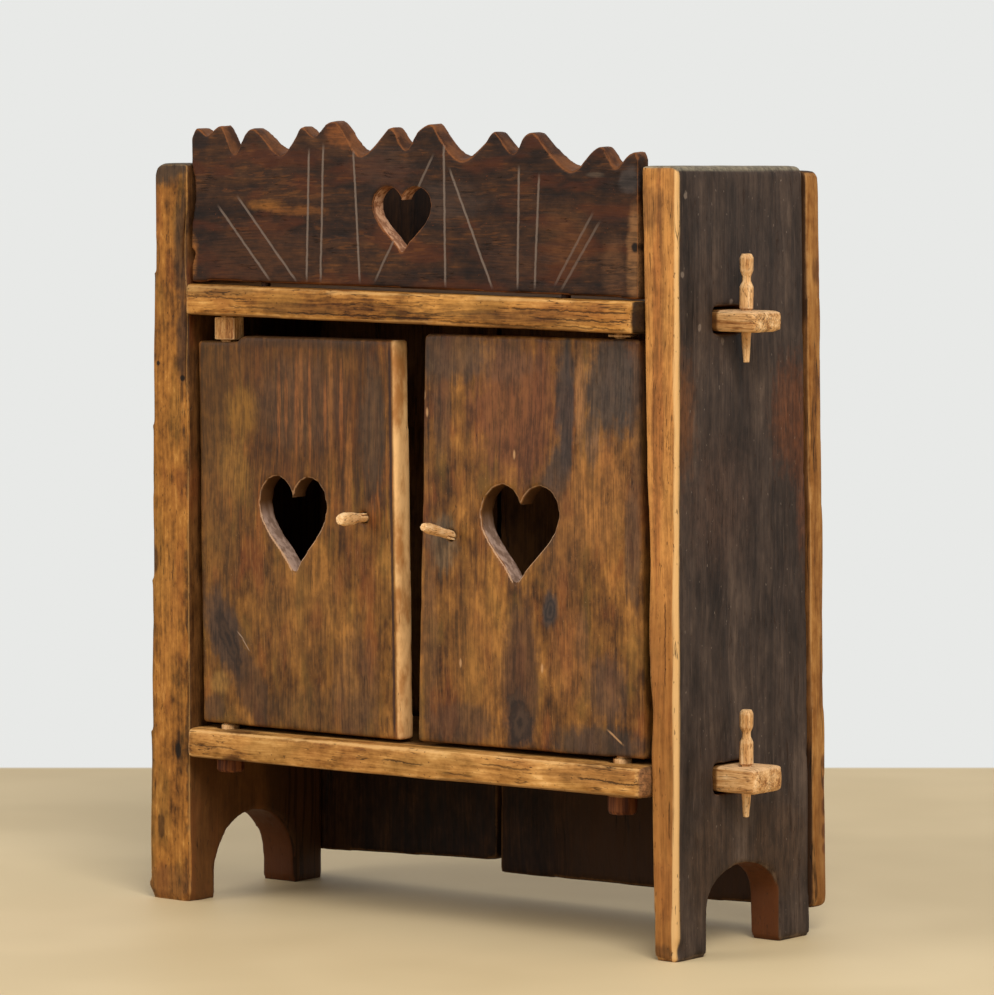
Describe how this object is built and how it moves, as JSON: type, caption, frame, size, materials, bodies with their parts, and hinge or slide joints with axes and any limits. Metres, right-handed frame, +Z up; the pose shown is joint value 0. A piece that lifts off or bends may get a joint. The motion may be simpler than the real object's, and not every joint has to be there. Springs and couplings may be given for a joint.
{
  "type": "storage cabinet",
  "caption": "Rustic plank cupboard with hinged heart-pierced doors, through tenons locked by tusk pegs, arched feet and a scalloped crest above an open tray.",
  "frame": {"origin": "on the floor, under the middle of the object's outer box, knob tips and tenons included", "axes": "+X to the right as seen from the front, +Y towards the back boards, +Z up"},
  "size_m": [0.8082, 0.294, 0.8503],
  "materials": {
    "side_wood": "old dark plank, golden hewn edges",
    "rail_wood": "waxed golden pine with dark cracks",
    "crest_wood": "dark red-brown stain, worn orange edges",
    "door_wood": "brown plank, upright grain, dark patches",
    "peg_wood": "pale whittled wood, bare",
    "back_wood": "rough dark back boards",
    "forged_iron": "dark forged nails"
  },
  "bodies": {
    "carcass": {"side_board_left": "side_wood", "side_board_right": "side_wood", "lower_board": "rail_wood", "upper_board": "rail_wood", "crest_board": "crest_wood", "crest_dowel_left": "peg_wood", "crest_dowel_right": "peg_wood", "back_board_left": "back_wood", "back_board_middle": "back_wood", "back_board_right": "back_wood", "back_nail_01": "forged_iron", "back_nail_02": "forged_iron", "back_nail_03": "forged_iron", "back_nail_04": "forged_iron", "back_nail_05": "forged_iron", "back_nail_06": "forged_iron", "back_nail_07": "forged_iron", "back_nail_08": "forged_iron", "back_nail_09": "forged_iron", "back_nail_10": "forged_iron", "back_nail_11": "forged_iron", "back_nail_12": "forged_iron", "back_nail_13": "forged_iron", "back_nail_14": "forged_iron", "back_nail_15": "forged_iron", "back_nail_16": "forged_iron", "back_nail_17": "forged_iron", "back_nail_18": "forged_iron", "back_nail_19": "forged_iron", "back_nail_20": "forged_iron", "pivot_lower_left": "peg_wood", "pivot_lower_right": "peg_wood"},
    "door_left": {"door_left": "door_wood", "pivot_upper_left": "peg_wood", "knob_left": "peg_wood", "knob_wedge_left": "peg_wood"},
    "door_right": {"door_right": "door_wood", "pivot_upper_right": "peg_wood", "knob_right": "peg_wood", "knob_wedge_right": "peg_wood"},
    "peg_lower_left": {"tusk_peg_lower_left": "peg_wood"},
    "peg_lower_right": {"tusk_peg_lower_right": "peg_wood"},
    "peg_upper_left": {"tusk_peg_upper_left": "peg_wood"},
    "peg_upper_right": {"tusk_peg_upper_right": "peg_wood"}
  },
  "joints": [
    {"name": "door_left_swing", "type": "hinge", "parent": "carcass", "child": "door_left", "pos_m": [-0.25555, -0.08777, 0.41], "axis": [0, 0, -1], "range_deg": [0, 120]},
    {"name": "door_right_swing", "type": "hinge", "parent": "carcass", "child": "door_right", "pos_m": [0.26988, -0.08777, 0.41], "axis": [0, 0, 1], "range_deg": [0, 120]},
    {"name": "peg_lower_left_lift", "type": "slide", "parent": "carcass", "child": "peg_lower_left", "axis": [0, 0, 1], "range_m": [0, 0.06]},
    {"name": "peg_lower_right_lift", "type": "slide", "parent": "carcass", "child": "peg_lower_right", "axis": [0, 0, 1], "range_m": [0, 0.06]},
    {"name": "peg_upper_left_lift", "type": "slide", "parent": "carcass", "child": "peg_upper_left", "axis": [0, 0, 1], "range_m": [0, 0.06]},
    {"name": "peg_upper_right_lift", "type": "slide", "parent": "carcass", "child": "peg_upper_right", "axis": [0, 0, 1], "range_m": [0, 0.06]}
  ]
}
